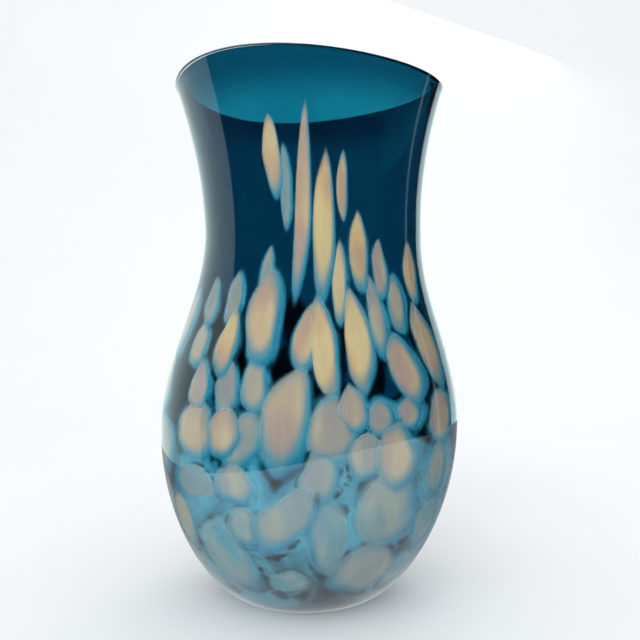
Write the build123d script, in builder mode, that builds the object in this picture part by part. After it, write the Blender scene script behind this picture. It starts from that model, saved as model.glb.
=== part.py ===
from build123d import *
import os
from math import cos, pi, radians, sin, tan

# Hand-blown cased vase: a teal inner bubble, chips of opal glass laid on it, and a thick clear casing.
# Millimetres, +Z up, origin in the middle of the foot on the surface it stands on.
# The side with the tall spires faces -Y.  Azimuths are degrees round from there, towards +X.

# ---- driving dimensions ----
foot_radius = 38.0          # flat ground foot
belly_radius = 82.0
belly_height = 93.0
neck_radius = 60.5
neck_height = 197.0
mouth_half_width = 75.0     # the mouth is a little oval, wider from side to side
mouth_half_depth = 67.5
mouth_height = 277.5        # lowest part of the lip
shoulder_fullness = 0.7     # 0.5 is a round bowl under the belly, 1 a slacker one

foot_shift = -1.7           # the blown form leans a little from foot to neck, and back at the mouth
neck_shift = 2.2

casing_wall = 3.6           # clear glass outside the teal
liner_wall = 1.4            # teal glass
chip_thickness = 1.4        # opal chips, flush on the teal and sunk in the casing
base_thickness = 13.0       # solid glass under the teal bubble
lip_height = 2.0            # clear lip above the end of the teal
lip_round = 1.6
foot_round = 1.5
lip_wave_radius = 460.0     # the lip dips where this lying cylinder touches it
lip_wave_azimuth = 45.0     # azimuth of the dip, and of the one across from it

# ---- layout of the chips on the wall ----
# azimuth in degrees, height and length in percent of the mouth's height, width in degrees, lean in degrees
spires = [
    (-17.5, 82, 12, 6, -3), (-12.3, 75.5, 11.6, 3.8, 0), (-4.2, 73, 33.5, 6.4, 3), (5.6, 68, 25.5, 8.4, 2),
    (15, 77, 13, 5.4, 0),
]
petals = [
    (-20.5, 62.3, 6.4, 3.8, 3), (-35, 58, 8, 7.6, 0), (-49, 57, 8.4, 9.4, -3), (-33, 49, 8.8, 6.8, 4),
    (-30, 42.5, 5.6, 5.6, 0), (-49, 49.3, 6, 10.5, -10), (-42.5, 42.5, 6.7, 9.4, -2), (-17, 54.5, 11.5, 9.4, 3),
    (-17.5, 43, 7.6, 7.8, -3), (-1, 51, 9.4, 7.6, 8), (6.5, 47.5, 12, 8.4, -8), (-6, 37.5, 15, 13, 9),
    (16, 39, 6.6, 7.2, -14), (12.5, 60, 14, 5.8, 2), (23, 66.5, 13, 8.8, 0), (28.5, 54.3, 10.6, 6.8, -4),
    (33.5, 63, 10.4, 7.8, 3), (41, 57.5, 9.4, 10, 4), (55, 62.5, 10.8, 10.6, 2), (56, 49.5, 12.6, 12, -9),
    (19, 50.3, 15, 10.6, -5), (39, 45, 9.8, 12, -20),
]
pebbles = [
    (-41.5, 34.5, 8, 13.5, -6), (-29, 35, 6.6, 8.6, 20), (-20.5, 34, 8.6, 9, 20), (8, 36, 8.4, 12, 3),
    (26, 37.5, 5.2, 9, -3), (38, 37.8, 4.5, 9, -10), (56, 36.5, 6.8, 12.4, 0), (19, 31, 5.8, 9, 14),
    (34, 30.5, 8.6, 14, -10),
]
low_chips = [
    (-45, 25.5, 4.8, 21, 0), (-25.5, 26, 4.8, 12.4, 0), (4.5, 28, 6.2, 11.4, -4), (55, 27, 8, 12.4, -4),
    (-57, 17.5, 6.4, 12, 6), (-8, 20.5, 10.6, 12, 36), (-23.5, 19, 5, 9, 0), (-36, 12.5, 11, 16, 6),
    (8, 17.5, 11.8, 13, 172), (31, 21, 10, 18, -10), (27, 9.5, 5.4, 23, 0), (56, 17.5, 6, 12, 0),
    (50, 9, 4.8, 11, 0), (-10, 10, 4.6, 18, 0), (-52, 8.5, 4.6, 9.5, 0),
]
# rows round the sides and back: height %, length %, width in degrees, how many
back_rows = [
    (11.0, 7.4, 22, 8), (21.0, 8.6, 20, 9), (31.5, 9.0, 18.5, 10), (42.0, 9.6, 15, 10),
    (53.5, 11.0, 11, 9),
]
back_from, back_to = 71.0, 301.0    # azimuths between which those rows run


# ---- the blown form ----
def lathe_radius(height):
    """Radius of the outer wall, below the oval mouth."""
    if height <= belly_height:
        t = max(height / belly_height, 0)
        return foot_radius + (belly_radius - foot_radius) * (1 - (1 - t) ** 2) ** shoulder_fullness
    t = (1 - cos(pi * (height - belly_height) / (neck_height - belly_height))) / 2
    return belly_radius + (neck_radius - belly_radius) * t


def section(height):
    """Half-width, half-depth and X shift of the outer wall at a height."""
    if height <= neck_height:
        radius = lathe_radius(height)
        return radius, radius, foot_shift + (neck_shift - foot_shift) * height / neck_height
    t = (height - neck_height) / (mouth_height - neck_height)
    half_width = neck_radius + (mouth_half_width - neck_radius) * t**2
    half_depth = neck_radius + (mouth_half_depth - neck_radius) * t**2
    return half_width, half_depth, neck_shift * (1 - t)


below_belly = [belly_height * t for t in (0.06, 0.18, 0.38, 0.68, 1)]
belly_to_neck = [belly_height + (neck_height - belly_height) * t for t in (0.3, 0.5, 0.7, 1)]
neck_to_mouth = [neck_height + (mouth_height - neck_height) * t for t in (0.3, 0.65, 1, 1.2)]
up_the_axis = Vector(neck_shift - foot_shift, 0, neck_height).normalized()
ground_away = foot_radius * up_the_axis.X   # the leaning foot is ground flat on the surface it stands on
lathe = Plane(origin=(foot_shift, 0, -ground_away), x_dir=(up_the_axis.Z, 0, -up_the_axis.X), z_dir=(0, -1, 0))
axis = Axis(lathe.origin, lathe.y_dir)


def blown_form(inset, floor, lip_drop):
    """A solid with the vase's outline drawn in by inset, standing on floor, its wavy lip lowered by lip_drop."""
    wall = [
        (lathe_radius(height) - inset, height + floor * max(1 - height / belly_height, 0) ** 2)
        for height in below_belly + belly_to_neck
    ]
    with BuildPart() as form:
        with BuildSketch(lathe):
            with BuildLine():
                Line((0, neck_height), (0, floor))
                Line((0, floor), (foot_radius - inset, floor))
                Spline((foot_radius - inset, floor), *wall)
                Line(wall[-1], (0, neck_height))
            make_face()
        revolve(axis=axis)
        with BuildSketch(Plane(origin=axis.position + axis.direction * neck_height, z_dir=axis.direction)):
            Circle(neck_radius - inset)
        for height in neck_to_mouth:
            half_width, half_depth, shift = section(height)
            with BuildSketch(Plane(origin=(shift, 0, height))):
                Ellipse(half_width - inset, half_depth - inset)
        loft()
        across = Vector(sin(radians(lip_wave_azimuth)), -cos(radians(lip_wave_azimuth)), 0)
        above_lip = Plane(origin=(0, 0, mouth_height + lip_wave_radius - lip_drop), z_dir=across)
        with Locations(above_lip):
            Cylinder(lip_wave_radius, 4 * belly_radius, mode=Mode.SUBTRACT)
        split(bisect_by=Plane.XY)
    return form.part


outer_form = blown_form(0, 0, 0)
chip_form = blown_form(casing_wall - chip_thickness, base_thickness - chip_thickness, lip_height)
liner_form = blown_form(casing_wall, base_thickness, lip_height)
cavity_form = blown_form(casing_wall + liner_wall, base_thickness + liner_wall, -lip_height)


# ---- the chips ----
def petal_block(azimuth, height_share, length_share, width_angle, lean):
    """A block with a petal's outline, square through the wall: its longer way runs from a tip to a round heel."""
    height = mouth_height * height_share / 100
    half_width, half_depth, shift = section(height)
    out = Vector(sin(radians(azimuth)), -cos(radians(azimuth)), 0)
    middle = (shift + half_width * out.X, half_depth * out.Y, height)
    long_half = mouth_height * length_share / 200
    short_half = (half_width - casing_wall) * tan(radians(width_angle / 2))
    if short_half > long_half:
        long_half, short_half, lean = short_half, long_half, lean + 90
    across = Vector(-out.Y, out.X, 0) * cos(radians(lean)) - Vector(0, 0, 1) * sin(radians(lean))
    heel = min(0.75 * short_half, 0.7 * long_half) - long_half
    flank = 0.38 * long_half + heel / 2
    with BuildPart() as block:
        with BuildSketch(Plane(origin=middle, x_dir=across, z_dir=out)):
            with BuildLine():
                side = 0.86 * short_half
                ThreePointArc((0, long_half), (-side, flank), (-side, heel))
                ThreePointArc((-side, heel), (0, -long_half), (side, heel))
                ThreePointArc((side, heel), (side, flank), (0, long_half))
            make_face()
        extrude(amount=2 * casing_wall + long_half / 4, both=True)
    return block.part


def row_spots(row):
    """Evenly spread spots of one row round the back, every other row half a step along."""
    height_share, length_share, width_angle, count = back_rows[row]
    step = (back_to - back_from) / count
    start = back_from + step * (0.35 if row % 2 else 0.65)
    return [
        (start + step * i, height_share + 0.5 * sin(2.4 * i + row), length_share, width_angle, 5 * sin(1.7 * i))
        for i in range(count)
    ]


groups = {f"opal_spire_{i}": [spot] for i, spot in enumerate(spires, 1)}
groups |= {f"opal_petal_{i:02d}": [spot] for i, spot in enumerate(petals, 1)}
groups |= {f"opal_pebble_{i}": [spot] for i, spot in enumerate(pebbles, 1)}
groups |= {f"opal_low_chip_{i:02d}": [spot] for i, spot in enumerate(low_chips, 1)}
groups |= {f"opal_back_row_{row + 1}": row_spots(row) for row in range(len(back_rows))}

os.makedirs("parts", exist_ok=True)
pockets = []
for name, spots in groups.items():
    with BuildPart() as pocket:
        add([petal_block(*spot) for spot in spots])
        add(chip_form, mode=Mode.INTERSECT)
    pockets.append(pocket.part)
    with BuildPart() as chips:
        add(pocket.part)
        add(liner_form, mode=Mode.SUBTRACT)
    chips.part.label = name
    export_step(chips.part, f"parts/{name}.step")

# ---- teal inner bubble ----
with BuildPart() as teal_liner:
    add(liner_form)
    add(cavity_form, mode=Mode.SUBTRACT)
teal_liner.part.label = "teal_liner"
export_step(teal_liner.part, "parts/teal_liner.step")

# ---- clear casing, with its rounded lip and flat foot ----
with BuildPart() as clear_casing:
    add(outer_form)
    add(cavity_form, mode=Mode.SUBTRACT)
    lip_edges = clear_casing.edges().filter_by(lambda e: e.center().Z > mouth_height - lip_height)
    fillet(lip_edges, lip_round)
    fillet(clear_casing.edges().sort_by(Axis.Z)[0], foot_round)
    add(liner_form, mode=Mode.SUBTRACT)
    add(pockets, mode=Mode.SUBTRACT)
clear_casing.part.label = "clear_casing"
export_step(clear_casing.part, "parts/clear_casing.step")
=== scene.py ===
from math import cos, hypot, pi, radians, sin

import bmesh
import bpy
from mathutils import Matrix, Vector, noise


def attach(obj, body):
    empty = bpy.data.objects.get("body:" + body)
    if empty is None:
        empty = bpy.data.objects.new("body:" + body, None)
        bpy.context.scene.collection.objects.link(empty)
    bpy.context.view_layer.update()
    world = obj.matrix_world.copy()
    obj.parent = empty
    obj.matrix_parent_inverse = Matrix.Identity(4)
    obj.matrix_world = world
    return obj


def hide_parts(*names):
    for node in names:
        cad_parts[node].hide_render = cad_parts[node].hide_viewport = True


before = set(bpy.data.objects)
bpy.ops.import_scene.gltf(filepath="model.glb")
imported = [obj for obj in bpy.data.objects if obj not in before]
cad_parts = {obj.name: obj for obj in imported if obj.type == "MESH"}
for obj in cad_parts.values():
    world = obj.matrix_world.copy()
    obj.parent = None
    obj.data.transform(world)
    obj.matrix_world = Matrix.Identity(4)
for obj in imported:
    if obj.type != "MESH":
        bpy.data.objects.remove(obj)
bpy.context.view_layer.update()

# The vase's blown form, in metres. Azimuth 0 faces -Y, the side of the tall spires, and grows towards +X.
FOOT = 0.038
BELLY = 0.082
BELLY_HEIGHT = 0.093
NECK = 0.0605
NECK_HEIGHT = 0.197
MOUTH_WIDTH = 0.075
MOUTH_DEPTH = 0.0675
MOUTH_HEIGHT = 0.2775
FULLNESS = 0.7
FOOT_SHIFT = -0.0017
NECK_SHIFT = 0.0022
LIP_WAVE = 0.460
LIP_WAVE_AZIMUTH = radians(45)

CASING_WALL = 0.0036
LINER_WALL = 0.0014
BASE = 0.013
WALL = CASING_WALL + LINER_WALL
LINER_EDGE = 0.0006     # the clear lip stands this far above the end of the teal
FOOT_ROUND = 0.0015

# How finely the shells are spun: rings up the wall and steps round it.
CASING_RINGS, CASING_STEPS = 110, 192
LINER_RINGS, LINER_STEPS = 90, 160
LINER_SKIN = 0.0002     # clear glass kept between the teal and the well

# Where a chip lies in the casing, measured out from the teal.
SKIRT_LIFT = 0.0001
SKIRT_THICKNESS = 0.0001
LENS_LIFT = 0.0003
LENS_THICKNESS = 0.0002
LENS_DEPTHS = 0.0008    # from the deepest chip to the one nearest the surface

# The rows round the sides and back, in degrees of azimuth.
BACK_START = 71
BACK_SPREAD = 230


# ---------------------------------------------------------------- the blown form
def wall_radius(z):
    """Radius of the outer wall at height z, before the mouth is made oval."""
    if z <= BELLY_HEIGHT:
        t = max(z / BELLY_HEIGHT, 0)
        return FOOT + (BELLY - FOOT) * (1 - (1 - t) ** 2) ** FULLNESS
    if z <= NECK_HEIGHT:
        t = (1 - cos(pi * (z - BELLY_HEIGHT) / (NECK_HEIGHT - BELLY_HEIGHT))) / 2
        return BELLY + (NECK - BELLY) * t
    t = (z - NECK_HEIGHT) / (MOUTH_HEIGHT - NECK_HEIGHT)
    return NECK + (MOUTH_WIDTH - NECK) * t * t


def shift(z):
    """How far the leaning form's middle stands towards +X at height z."""
    if z <= NECK_HEIGHT:
        return FOOT_SHIFT + (NECK_SHIFT - FOOT_SHIFT) * z / NECK_HEIGHT
    return NECK_SHIFT * (1 - (z - NECK_HEIGHT) / (MOUTH_HEIGHT - NECK_HEIGHT))


def blown(x, y, z):
    """Takes a point of the round, upright form to its place in the oval, leaning, wavy-lipped vase."""
    flare = max(z - NECK_HEIGHT, 0) / (MOUTH_HEIGHT - NECK_HEIGHT)
    squeeze = (NECK + (MOUTH_DEPTH - NECK) * flare**2) / (NECK + (MOUTH_WIDTH - NECK) * flare**2)
    along = x * sin(LIP_WAVE_AZIMUTH) - y * cos(LIP_WAVE_AZIMUTH)
    across = hypot(x, y) ** 2 - along**2
    lift = across / (2 * LIP_WAVE) * flare**3
    return Vector((x + shift(z), y * squeeze, z + lift))


def wall_line(inset, floor, top, count):
    """Radius and height pairs up the wall, closest at the foot, drawn in by inset over a floor this thick."""
    line = []
    for i in range(count + 1):
        z = top * (i / count) ** 1.4
        lift = floor * max(1 - z / BELLY_HEIGHT, 0) ** 2
        line.append((wall_radius(z) - inset, z + lift))
    return line


def arc(centre_r, centre_z, radius, start, end, count):
    """Radius and height pairs round an arc, from one angle to the other, ends left out."""
    steps = [start + (end - start) * i / count for i in range(1, count)]
    return [(centre_r + radius * cos(a), centre_z + radius * sin(a)) for a in steps]


def spun(name, profile, segments):
    """A closed shell: a profile that begins and ends on the axis, spun round and blown to shape."""
    bm = bmesh.new()
    verts = [bm.verts.new((r, 0, z)) for r, z in profile]
    edges = [bm.edges.new(pair) for pair in zip(verts, verts[1:])]
    bmesh.ops.spin(
        bm, geom=verts + edges, cent=(0, 0, 0), axis=(0, 0, 1), angle=2 * pi, steps=segments, use_merge=True
    )
    bmesh.ops.remove_doubles(bm, verts=bm.verts, dist=1e-6)
    for v in bm.verts:
        v.co = blown(*v.co)
    bmesh.ops.recalc_face_normals(bm, faces=bm.faces)
    return finished(name, bm)


def finished(name, bm):
    """A smooth-shaded object from a bmesh."""
    mesh = bpy.data.meshes.new(name)
    bm.to_mesh(mesh)
    bm.free()
    mesh.shade_smooth()
    piece = bpy.data.objects.new(name, mesh)
    bpy.context.collection.objects.link(piece)
    return piece


# ---------------------------------------------------------------- nodes
def node(tree, kind, values=None, **settings):
    """A node with its settings, and its inputs set or linked by name."""
    made = tree.nodes.new(kind)
    for key, value in settings.items():
        setattr(made, key, value)
    for key, value in (values or {}).items():
        if isinstance(value, bpy.types.NodeSocket):
            tree.links.new(value, made.inputs[key])
        else:
            made.inputs[key].default_value = value
    return made


def maths(tree, operation, *values, clamp=False):
    made = node(tree, "ShaderNodeMath", dict(enumerate(values)), operation=operation, use_clamp=clamp)
    return made.outputs[0]


def blend_colours(tree, share, first, second, mode="MIX"):
    made = node(tree, "ShaderNodeMix", data_type="RGBA", blend_type=mode)
    for key, value in ((0, share), (6, first), (7, second)):
        if isinstance(value, bpy.types.NodeSocket):
            tree.links.new(value, made.inputs[key])
        else:
            made.inputs[key].default_value = value
    return made.outputs[2]


def stepped(tree, value, low, high):
    """0 below low, 1 above high, eased between."""
    made = node(
        tree, "ShaderNodeMapRange", {"Value": value, "From Min": low, "From Max": high},
        interpolation_type="SMOOTHSTEP",
    )
    return made.outputs[0]


def srgb(r, g, b):
    """Scene-linear colour from the 0 to 255 values a maker would read off a swatch."""
    def linear(c):
        c /= 255
        return c / 12.92 if c <= 0.04045 else ((c + 0.055) / 1.055) ** 2.4
    return (linear(r), linear(g), linear(b), 1)


def material(name):
    made = bpy.data.materials.new(name)
    made.use_nodes = True
    made.node_tree.nodes.clear()
    return made, made.node_tree


def lets_lamps_through(tree, shader, tint):
    """Ends a glass material: lamps shine through it instead of being stopped by it."""
    lamp = node(tree, "ShaderNodeLightPath").outputs["Is Shadow Ray"]
    through = node(tree, "ShaderNodeBsdfTransparent", {"Color": tint})
    mixed = node(tree, "ShaderNodeMixShader", {0: lamp, 1: shader, 2: through.outputs[0]})
    node(tree, "ShaderNodeOutputMaterial", {"Surface": mixed.outputs[0]})


def clear_glass():
    mat, tree = material("clear_glass")
    ripple = node(tree, "ShaderNodeTexNoise", {"Scale": 14.0, "Detail": 1.0, "Roughness": 0.4})
    place = node(tree, "ShaderNodeTexCoord").outputs["Object"]
    tree.links.new(place, ripple.inputs["Vector"])
    bump = node(tree, "ShaderNodeBump", {"Height": ripple.outputs[0], "Strength": 0.12, "Distance": 0.002})
    glass = node(
        tree, "ShaderNodeBsdfPrincipled",
        {"Base Color": (0.985, 0.995, 1, 1), "Roughness": 0.0, "IOR": 1.5, "Transmission Weight": 1.0,
         "Normal": bump.outputs[0]},
    )
    lets_lamps_through(tree, glass.outputs[0], (0.93, 0.95, 0.95, 1))
    return mat


def teal_glass():
    """Petrol-blue glass. It is fused to the clear casing, so nothing bends or shines where they meet."""
    mat, tree = material("teal_glass")
    place = node(tree, "ShaderNodeTexCoord").outputs["Object"]
    streak = node(tree, "ShaderNodeMapping", {"Vector": place, "Scale": (26.0, 26.0, 3.0)}).outputs[0]
    drift = node(
        tree, "ShaderNodeTexNoise", {"Vector": streak, "Scale": 1.0, "Detail": 3.0, "Roughness": 0.5}
    )
    colour = blend_colours(
        tree, stepped(tree, drift.outputs[0], 0.35, 0.65), (0.003, 0.155, 0.24, 1), (0.006, 0.19, 0.28, 1)
    )
    height = node(tree, "ShaderNodeSeparateXYZ", {0: place}).outputs[2]
    gathered = stepped(tree, height, 0.252, 0.275)
    colour = blend_colours(tree, gathered, colour, (0.0016, 0.07, 0.13, 1))
    glass = node(
        tree, "ShaderNodeBsdfPrincipled",
        {"Base Color": colour, "Roughness": 0.0, "IOR": 1.0, "Transmission Weight": 1.0},
    )
    lets_lamps_through(tree, glass.outputs[0], (0.055, 0.39, 0.52, 1))
    return mat


def opal_glass():
    """Opal chips: peach, cream and grey in the thick middle, turquoise where they thin out at the edge."""
    mat, tree = material("opal_glass")
    across = node(tree, "ShaderNodeUVMap", uv_map="petal").outputs[0]
    place = node(tree, "ShaderNodeTexCoord").outputs["Object"]
    traits = node(tree, "ShaderNodeAttribute", attribute_name="traits").outputs["Vector"]
    warmth, coolness, milk = node(tree, "ShaderNodeSeparateXYZ", {0: traits}).outputs
    lay = node(tree, "ShaderNodeAttribute", attribute_name="lay").outputs["Vector"]
    wander = node(
        tree, "ShaderNodeTexNoise", {"Vector": place, "Scale": 42.0, "Detail": 2.0, "Roughness": 0.5}
    )
    wander = maths(tree, "SUBTRACT", wander.outputs[0], 0.5)
    long_way = node(tree, "ShaderNodeMapping", {"Vector": place, "Scale": (260.0, 260.0, 26.0)}).outputs[0]
    streaks = node(tree, "ShaderNodeTexNoise", {"Vector": long_way, "Scale": 1.0, "Detail": 3.0}).outputs[0]
    drawn = node(tree, "ShaderNodeMapping", {"Vector": place, "Scale": (70.0, 70.0, 26.0)}).outputs[0]
    patches = node(tree, "ShaderNodeTexNoise", {"Vector": drawn, "Scale": 1.0, "Detail": 1.0}).outputs[0]

    # out is 0 in the middle and 1 at the edge; rim also reaches further in on the chip's cool side
    out = node(tree, "ShaderNodeVectorMath", {0: across}, operation="LENGTH").outputs["Value"]
    thinning = stepped(tree, out, 0.99, 0.8)
    out = maths(tree, "ADD", out, maths(tree, "MULTIPLY", wander, 0.26))
    sideways = node(tree, "ShaderNodeVectorMath", {0: across, 1: lay}, operation="DOT_PRODUCT")
    sideways = sideways.outputs["Value"]
    skirt = node(tree, "ShaderNodeSeparateXYZ", {0: lay}).outputs[2]
    rim = maths(tree, "ADD", out, maths(tree, "MULTIPLY", sideways, 0.26))
    rim = maths(tree, "ADD", rim, maths(tree, "MULTIPLY", coolness, 0.3))

    # the middle of a chip, from grey through peach to straw, clouded with cream, rose and sea green
    core = blend_colours(tree, stepped(tree, warmth, 0.0, 0.5), srgb(146, 151, 148), srgb(184, 161, 140))
    core = blend_colours(tree, stepped(tree, warmth, 0.5, 1.0), core, srgb(210, 181, 126))
    cream = maths(tree, "ADD", 0.25, warmth)
    cream = maths(tree, "MULTIPLY", stepped(tree, patches, 0.46, 0.62), cream, clamp=True)
    core = blend_colours(tree, maths(tree, "MULTIPLY", cream, 0.75), core, srgb(206, 192, 150))
    rosy = maths(tree, "MULTIPLY", stepped(tree, patches, 0.5, 0.36), 0.55)
    core = blend_colours(tree, rosy, core, srgb(168, 150, 146))
    sea = blend_colours(tree, stepped(tree, patches, 0.4, 0.6), srgb(70, 150, 166), srgb(126, 158, 160))
    core = blend_colours(tree, milk, core, sea)
    pale = blend_colours(tree, stepped(tree, rim, 0.5, 0.88), core, srgb(120, 150, 156))
    edge = blend_colours(tree, stepped(tree, rim, 0.9, 1.15), srgb(62, 140, 162), srgb(22, 116, 150))
    body = blend_colours(tree, stepped(tree, rim, 0.7, 1.0), pale, edge)
    glow = blend_colours(tree, stepped(tree, out, 0.5, 1.0), srgb(74, 160, 182), srgb(14, 118, 152))
    body = blend_colours(tree, skirt, body, glow)
    shade = maths(tree, "ADD", 0.88, maths(tree, "MULTIPLY", streaks, 0.24))
    shade = node(tree, "ShaderNodeCombineXYZ", {0: shade, 1: shade, 2: shade}).outputs[0]
    body = blend_colours(tree, 1.0, body, shade, "MULTIPLY")

    # milky chips and skirts start to fade nearer their middle, and only cool chips have a full skirt
    earlier = maths(tree, "MAXIMUM", maths(tree, "MULTIPLY", milk, 0.34), maths(tree, "MULTIPLY", skirt, 0.3))
    fade_from = maths(tree, "SUBTRACT", 0.68, earlier)
    faded = node(
        tree, "ShaderNodeMapRange", {"Value": out, "From Min": fade_from, "From Max": 1.0},
        interpolation_type="SMOOTHSTEP",
    )
    glowing = maths(tree, "ADD", 0.06, maths(tree, "MULTIPLY", coolness, 2.2), clamp=True)
    thinned = maths(tree, "MULTIPLY", skirt, maths(tree, "SUBTRACT", 1.0, glowing))
    thinned = maths(tree, "SUBTRACT", 1.0, thinned)
    solid = maths(tree, "MULTIPLY", maths(tree, "SUBTRACT", 1.0, faded.outputs[0]), thinned)
    solid = maths(tree, "MULTIPLY", solid, thinning)
    # lamps and bounced light pass, so that one chip doesn't darken the next
    ray = node(tree, "ShaderNodeLightPath").outputs
    soft = maths(tree, "MAXIMUM", ray["Is Shadow Ray"], ray["Is Diffuse Ray"])
    solid = maths(tree, "MULTIPLY", solid, maths(tree, "SUBTRACT", 1.0, maths(tree, "MULTIPLY", soft, 0.9)))
    opal = node(
        tree, "ShaderNodeBsdfPrincipled",
        {"Base Color": body, "Roughness": 0.6, "IOR": 1.5, "Specular IOR Level": 0.0, "Alpha": solid},
    )
    node(tree, "ShaderNodeOutputMaterial", {"Surface": opal.outputs[0]})
    return mat


# ---------------------------------------------------------------- vessel
def clear_casing():
    """The whole glass body, from the ground foot over the rounded lip to the floor of the well."""
    lip = WALL / 2
    outer = wall_line(0, 0, MOUTH_HEIGHT - lip, CASING_RINGS)[3:]  # the foot replaces the lowest three
    inner = wall_line(WALL, BASE + LINER_WALL, MOUTH_HEIGHT - lip, CASING_RINGS)
    over = arc(wall_radius(MOUTH_HEIGHT) - lip, MOUTH_HEIGHT - lip, lip, 0, pi, 10)
    foot = [(0, 0), (FOOT * 0.5, 0), (FOOT - FOOT_ROUND, 0), (FOOT - 0.4 * FOOT_ROUND, 0.00012)]
    profile = foot + outer + over + inner[::-1] + [(FOOT * 0.4, inner[0][1]), (0, inner[0][1])]
    return spun("clear_casing", profile, CASING_STEPS)


def teal_liner():
    """The inner bubble, a thin closed shell just under the surface of the well."""
    floor = BASE + LINER_WALL - LINER_SKIN
    outside = wall_line(CASING_WALL, BASE, MOUTH_HEIGHT - LINER_EDGE, LINER_RINGS)
    inside = wall_line(WALL - LINER_SKIN, floor, MOUTH_HEIGHT - 3 * LINER_EDGE, LINER_RINGS)
    profile = [(0, BASE)] + outside + inside[::-1] + [(0, floor)]
    return spun("teal_liner", profile, LINER_STEPS)


# ---------------------------------------------------------------- chips
# Each chip: azimuth and height of its middle (degrees, percent of the mouth's height), length (percent),
# width (degrees), lean (degrees), then warmth, coolness, milkiness and depth in the casing, 0 to 1.
SPIRES = [
    (-17.5, 82, 16, 10, -3, 0.75, 0.0, 0.05, 0.6), (-12.3, 77, 17, 6.6, 0, 0.1, 0.2, 0.5, 0.2),
    (-4.2, 74, 39, 9, 3, 0.45, 0.05, 0.0, 0.4), (5.6, 70, 31, 12.5, 2, 1.0, 0.0, 0.0, 0.7),
    (15, 77.3, 14, 6.4, 0, 0.85, 0.0, 0.0, 0.5),
]
PETALS = [
    (-20.5, 61.5, 12, 7, 3, 0.1, 0.2, 0.4, 0.0), (-35, 57.7, 11.5, 10.5, 0, 0.2, 0.25, 0.35, 0.2),
    (-49, 57, 10.5, 11.5, -3, 0.1, 0.15, 0.3, 0.1), (-33.5, 49.5, 13.5, 11.5, 4, 0.85, 0.1, 0.05, 0.6),
    (-30, 42, 10.5, 11, 0, 0.15, 0.25, 0.2, 0.3), (-49, 49, 9.5, 13, -10, 0.3, 0.35, 0.2, 0.3),
    (-42.5, 42.5, 10.5, 13, -2, 0.4, 0.3, 0.15, 0.5), (-18.7, 54.2, 19.5, 17.5, 3, 0.5, 0.3, 0.0, 0.7),
    (-18.5, 43, 12, 11.5, -3, 0.2, 0.45, 0.15, 0.3), (-1, 50.5, 13.5, 11.5, 8, 0.6, 0.2, 0.0, 0.4),
    (6, 49.3, 19.5, 11.5, -8, 0.75, 0.05, 0.0, 0.9), (-8, 37, 21, 19, 9, 0.4, 0.25, 0.05, 0.5),
    (15.5, 39, 9.5, 11.5, -14, 0.4, 0.3, 0.1, 0.6), (12.5, 60, 17, 8, 2, 0.65, 0.1, 0.0, 0.3),
    (23, 65.6, 16.5, 11, 0, 0.9, 0.05, 0.0, 0.6), (28.5, 54, 17, 10, -4, 0.3, 0.4, 0.25, 0.2),
    (33.5, 62.7, 12.5, 9.5, 3, 0.25, 0.05, 0.05, 0.5), (41, 56.8, 12.5, 12, 4, 0.15, 0.5, 0.05, 0.4),
    (55, 62.5, 13.5, 14, 2, 0.75, 0.05, 0.0, 0.6), (56, 49.2, 18, 18, -14, 0.6, 0.2, 0.0, 0.4),
    (19, 50.3, 20, 14, -5, 0.9, 0.0, 0.0, 0.8), (38.5, 45, 15, 18, -20, 0.55, 0.3, 0.0, 0.6),
]
PEBBLES = [
    (-41.5, 34.5, 12, 22, -6, 0.4, 0.2, 0.1, 0.5), (-29.5, 34.6, 10, 15, 20, 0.4, 0.2, 0.1, 0.7),
    (-22, 33.5, 13, 16.5, 20, 0.15, 0.5, 0.25, 0.3), (9, 35.5, 14, 22, 3, 0.25, 0.4, 0.15, 0.3),
    (26, 37.3, 7, 11.5, -3, 0.15, 0.55, 0.1, 0.6), (38, 37.8, 6.7, 12.5, -10, 0.25, 0.45, 0.05, 0.8),
    (56, 36.5, 11, 19, 0, 0.35, 0.2, 0.05, 0.3), (19.5, 31, 9.5, 14, 14, 0.15, 0.3, 0.2, 0.5),
    (33.5, 30.5, 14, 21, -10, 0.55, 0.45, 0.2, 0.9),
]
LOW_CHIPS = [
    (-45, 25.5, 7.5, 28, 0, 0.1, 0.4, 0.55, 0.5), (-25.5, 26, 8, 19, 0, 0.25, 0.4, 0.4, 0.7),
    (4.5, 28, 10, 16, -4, 0.2, 0.35, 0.35, 0.4), (55, 27, 12, 17, -4, 0.0, 0.6, 0.5, 0.2),
    (-57, 17.5, 12, 18, 6, 0.25, 0.2, 0.35, 0.6), (-8, 20.5, 17, 19, 36, 0.15, 0.4, 0.45, 0.8),
    (-23.5, 19, 9, 16, 0, 0.0, 0.45, 0.8, 0.2), (-35, 12.5, 18, 30, 6, 0.0, 0.45, 1.0, 0.4),
    (8, 17.5, 18, 18, 172, 0.05, 0.45, 0.75, 0.9), (31, 22, 18, 32, -10, 0.2, 0.4, 0.6, 0.5),
    (27, 10.5, 11, 36, 0, 0.0, 0.05, 0.3, 0.1), (56, 17.5, 11, 20, 0, 0.0, 0.6, 0.8, 0.3),
    (52, 9, 8, 18, 0, 0.0, 0.6, 1.0, 0.3), (-8, 9, 5.5, 22, 0, 0.0, 0.1, 1.0, 0.1),
    (-54, 8.5, 8, 18, 0, 0.0, 0.6, 1.0, 0.3),
]
# rows round the sides and back: height and length in percent, width in degrees, how many
BACK_ROWS = [
    (11, 10, 29, 8), (21, 12, 27, 9), (31.5, 12.5, 25, 10), (42, 13.5, 20, 10), (53.5, 14.5, 15, 9),
]


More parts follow.
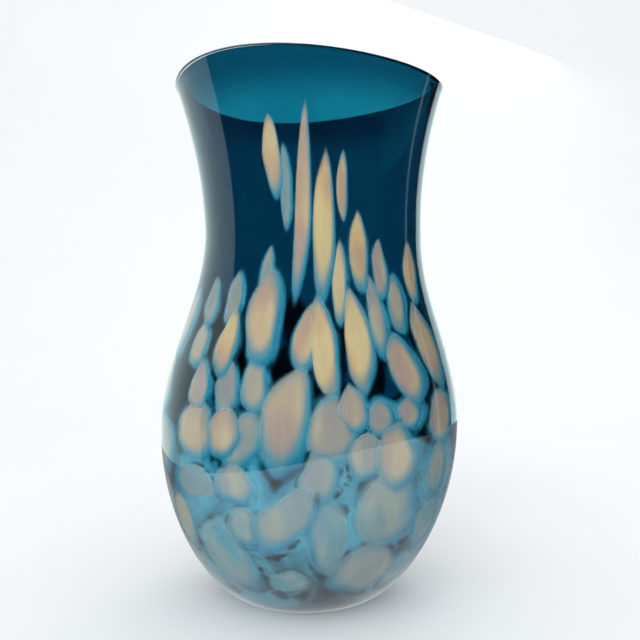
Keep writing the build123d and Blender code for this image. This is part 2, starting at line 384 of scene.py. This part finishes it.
def back_row(row):
    """The chips of one row, evenly spread, every other row a third of a step along."""
    height, length, width, count = BACK_ROWS[row]
    step = BACK_SPREAD / count
    start = BACK_START + step * (0.35 if row % 2 else 0.65)
    spots = []
    for i in range(count):
        chance = noise.noise(Vector((1.37 * i, 3.1, 2.9 * row))) + 0.5
        low = max(1 - height / 40, 0)
        warmth = min(max(0.2 + 0.7 * chance - 0.3 * low, 0), 1)
        coolness = min(max(0.45 - 0.5 * chance + 0.2 * low, 0), 1)
        spots.append((
            start + step * i, height + 0.5 * sin(2.4 * i + row), length, width, 5 * sin(1.7 * i),
            warmth, coolness, 0.8 * low, 0.5 + 0.5 * sin(2.9 * i + row),
        ))
    return spots


def unlifted(z):
    """The height on the plain wall of a spot that the thick base has lifted to z."""
    plain = z
    for _ in range(6):
        plain = z - BASE * max(1 - plain / BELLY_HEIGHT, 0) ** 2
    return plain


def lens(bm, spot, shape, skirt, seed):
    """Adds a petal-shaped lens of glass, wrapped to the wall. A skirt lies thin and wide behind it."""
    azimuth, height, length, width, lean, warmth, coolness, milk, depth = spot
    tip, heel, spread = shape
    height *= MOUTH_HEIGHT / 100
    half_length = length * MOUTH_HEIGHT / 200
    half_width = (wall_radius(height) - CASING_WALL) * radians(width) / 2
    lean = radians(lean)
    if half_width > half_length:
        half_width, half_length, lean = half_length, half_width, lean + pi / 2
    if skirt:
        half_length += spread * 0.5
        half_width += spread
        azimuth += 0.25 * spread / BELLY * 57  # degrees to the radian
    made = bmesh.ops.create_uvsphere(bm, u_segments=40, v_segments=10, radius=1)["verts"]
    uv = bm.loops.layers.uv["petal"]
    traits = bm.verts.layers.float_vector["traits"]
    lay = bm.verts.layers.float_vector["lay"]
    local = {v: v.co.copy() for v in made}
    for f in {f for v in made for f in v.link_faces}:
        for loop in f.loops:
            p = local[loop.vert]
            loop[uv].uv = (p.x, p.y)
    cool_side = radians(-35 + 60 * noise.noise(Vector((seed, 8.2, 1.7))))
    fullest = (heel - tip) / (heel + tip)
    full = (1 - fullest) ** tip * (1 + fullest) ** heel
    for v in made:
        p = local[v]
        v[traits] = (warmth, coolness, milk)
        v[lay] = (cos(cool_side), sin(cool_side), skirt)
        out = min(hypot(p.x, p.y), 1)
        up = p.y / out if out > 1e-6 else 0
        taper = max(1 - up, 1e-4) ** (tip - 0.5) * max(1 + up, 1e-4) ** (heel - 0.5) / full
        taper = 1 + (taper - 1) * out
        # slender chips wave less
        wave = noise.noise(Vector((1.4 * p.x, 1.4 * p.y, seed * 7.3))) * min(3 * half_width / half_length, 1)
        sway = 0.25 * half_width * noise.noise(Vector((p.y, 4.1, seed * 3.9)))
        x = p.x * taper * half_width * (1 + 0.25 * wave) + sway
        y = p.y * half_length * (1 + 0.1 * wave)
        along = x * cos(lean) + y * sin(lean)
        z = height + y * cos(lean) - x * sin(lean)
        radius = wall_radius(unlifted(z)) - CASING_WALL
        turn = radians(azimuth) + along / radius
        radius += SKIRT_LIFT if skirt else LENS_LIFT + LENS_DEPTHS * depth
        radius += (p.z + 1) / 2 * (SKIRT_THICKNESS if skirt else LENS_THICKNESS)
        v.co = blown(radius * sin(turn), -radius * cos(turn), z)


def chips():
    """One piece of opal glass for each CAD node of chips."""
    # how slender the tip and the heel are, and how far the skirt spreads
    shapes = {
        "spire": (0.62, 0.6, 0.001), "long_spire": (0.74, 0.54, 0.001), "petal": (0.7, 0.5, 0.002),
        "pebble": (0.56, 0.5, 0.005), "low_chip": (0.58, 0.5, 0.012), "back_row": (0.65, 0.5, 0.004),
    }
    groups = {}
    for i, spot in enumerate(SPIRES, 1):
        groups[f"opal_spire_{i}"] = ("long_spire" if spot[2] > 20 else "spire", [spot])
    groups |= {f"opal_petal_{i:02d}": ("petal", [spot]) for i, spot in enumerate(PETALS, 1)}
    groups |= {f"opal_pebble_{i}": ("pebble", [spot]) for i, spot in enumerate(PEBBLES, 1)}
    groups |= {f"opal_low_chip_{i:02d}": ("low_chip", [spot]) for i, spot in enumerate(LOW_CHIPS, 1)}
    groups |= {f"opal_back_row_{i + 1}": ("back_row", back_row(i)) for i in range(len(BACK_ROWS))}
    pieces = []
    for index, (name, (kind, spots)) in enumerate(groups.items()):
        bm = bmesh.new()
        bm.loops.layers.uv.new("petal")
        bm.verts.layers.float_vector.new("traits")
        bm.verts.layers.float_vector.new("lay")
        for i, spot in enumerate(spots):
            seed = index * 1.37 + i * 0.71
            for skirt in (1, 0):
                lens(bm, spot, shapes[kind], skirt, seed)
        bmesh.ops.recalc_face_normals(bm, faces=bm.faces)
        piece = finished(name + "_glass", bm)
        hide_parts(name)
        pieces.append(piece)
    return pieces


# ---------------------------------------------------------------- stage
def pale_sweep():
    """A pale floor that curves up into a pale wall well behind the vase."""
    bend, back_wall, front, top, half_width = 0.5, 1.1, -1.6, 2.2, 2.2
    line = [(front, 0), (back_wall - bend, 0)]
    for i in range(1, 21):
        a = i * pi / 40
        line.append((back_wall - bend + bend * sin(a), bend - bend * cos(a)))
    line.append((back_wall, top))
    bm = bmesh.new()
    rows = [[bm.verts.new((x, y, z)) for y, z in line] for x in (-half_width, half_width)]
    for left, right, over, under in zip(rows[0], rows[1], rows[1][1:], rows[0][1:]):
        bm.faces.new((left, right, over, under))
    sweep = finished("pale_sweep", bm)
    mat, tree = material("pale_table")
    place = node(tree, "ShaderNodeTexCoord").outputs["Object"]
    smudge = node(tree, "ShaderNodeTexNoise", {"Vector": place, "Scale": 6.0, "Detail": 4.0})
    colour = blend_colours(tree, smudge.outputs[0], (0.87, 0.885, 0.895, 1), (0.91, 0.92, 0.925, 1))
    paint = node(
        tree, "ShaderNodeBsdfPrincipled", {"Base Color": colour, "Roughness": 0.55, "Specular IOR Level": 0.0}
    )
    node(tree, "ShaderNodeOutputMaterial", {"Surface": paint.outputs[0]})
    sweep.data.materials.append(mat)
    sweep.visible_glossy = False


def painted_table_reflection():
    """A glowing card that only reflections see: a painted reflection of the lit top of a round table,
    brightest towards the front, dimmer behind.
    """
    bm = bmesh.new()
    bmesh.ops.create_circle(bm, cap_ends=True, segments=96, radius=1)
    bmesh.ops.scale(bm, verts=bm.verts, vec=(0.48, 0.54, 1))
    bmesh.ops.translate(bm, verts=bm.verts, vec=(0.17, 0.15, 0.0006))
    card = finished("painted_table_reflection", bm)
    mat, tree = material("painted_table_reflection")
    place = node(tree, "ShaderNodeTexCoord").outputs["Object"]
    back = node(tree, "ShaderNodeSeparateXYZ", {0: place}).outputs[1]
    # painted reflection: the card's glow is strongest at the front and fades towards the back, like the lit
    # table top seen in the glass
    strength = maths(tree, "SUBTRACT", 1.8, maths(tree, "MULTIPLY", stepped(tree, back, -0.16, 0.06), 1.4))
    glow = node(tree, "ShaderNodeEmission", {"Color": (0.95, 0.99, 1, 1), "Strength": strength})
    node(tree, "ShaderNodeOutputMaterial", {"Surface": glow.outputs[0]})
    card.data.materials.append(mat)
    for way in ("camera", "diffuse", "transmission", "shadow"):
        setattr(card, "visible_" + way, False)


def surroundings():
    """A white room for the eye and the light. The gloss sees a dark front and a pale wall to the left."""
    world = bpy.data.worlds.new("room")
    bpy.context.scene.world = world
    world.use_nodes = True
    tree = world.node_tree
    tree.nodes.clear()
    direction = node(tree, "ShaderNodeTexCoord").outputs["Generated"]
    right, back, _ = node(tree, "ShaderNodeSeparateXYZ", {0: direction}).outputs
    # the wall fills the left from a little in front of the vase, and the right only well behind it
    on_left = maths(tree, "LESS_THAN", right, 0.0)
    edge = maths(tree, "SUBTRACT", 0.72, maths(tree, "MULTIPLY", on_left, 0.79))
    lit = stepped(tree, maths(tree, "SUBTRACT", back, edge), 0.0, 0.02)
    # a thin pale post between them, on the right
    post = maths(tree, "MULTIPLY", stepped(tree, back, 0.34, 0.36), stepped(tree, back, 0.42, 0.4))
    post = maths(tree, "MULTIPLY", post, maths(tree, "SUBTRACT", 1.0, on_left))
    pale = maths(tree, "ADD", 1.05, maths(tree, "MULTIPLY", stepped(tree, back, 0.2, 0.9), 0.2))
    seen = maths(tree, "ADD", 0.02, maths(tree, "MULTIPLY", lit, pale))
    seen = maths(tree, "ADD", seen, maths(tree, "MULTIPLY", post, 0.6))
    path = node(tree, "ShaderNodeLightPath").outputs
    gloss = maths(tree, "MULTIPLY", path["Is Glossy Ray"], path["Is Reflection Ray"])
    strength = node(tree, "ShaderNodeMix", {0: gloss, 2: 0.93, 3: seen}, data_type="FLOAT").outputs[0]
    tint = blend_colours(tree, gloss, (0.975, 0.99, 1, 1), (0.8, 1, 1, 1))
    light = node(tree, "ShaderNodeBackground", {"Color": tint, "Strength": strength})
    node(tree, "ShaderNodeOutputWorld", {"Surface": light.outputs[0]})


def soft_light(name, place, size, watts, aim=(0, 0, 0.14)):
    lamp = bpy.data.lights.new(name, "AREA")
    lamp.shape = "DISK"
    lamp.size = size
    lamp.energy = watts
    holder = bpy.data.objects.new(name, lamp)
    bpy.context.collection.objects.link(holder)
    holder.location = place
    holder.rotation_euler = (Vector(aim) - Vector(place)).to_track_quat("-Z", "Y").to_euler()
    holder.visible_glossy = False
    return holder


def camera():
    eye = bpy.data.cameras.new("camera")
    eye.lens = 39.4
    eye.clip_start = 0.01
    holder = bpy.data.objects.new("camera", eye)
    bpy.context.collection.objects.link(holder)
    holder.location = (0.006, -0.397, 0.147)
    holder.rotation_euler = (radians(90.4), 0, 0)
    bpy.context.scene.camera = holder


# ---------------------------------------------------------------- assembly
def finish_piece(piece, mat):
    piece.data.materials.append(mat)
    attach(piece, "root")


casing = clear_casing()
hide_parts("clear_casing")
finish_piece(casing, clear_glass())
liner = teal_liner()
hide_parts("teal_liner")
finish_piece(liner, teal_glass())
opal = opal_glass()
for piece in chips():
    finish_piece(piece, opal)

pale_sweep()
painted_table_reflection()
surroundings()
soft_light("key", (-0.5, -0.9, 1.1), 0.8, 2.5)
soft_light("front_light", (-0.35, -1.25, 0.35), 0.6, 4.5)
soft_light("back_light", (0.3, 0.9, 1.0), 0.8, 2)
camera()
bpy.context.scene.view_settings.view_transform = "Standard"
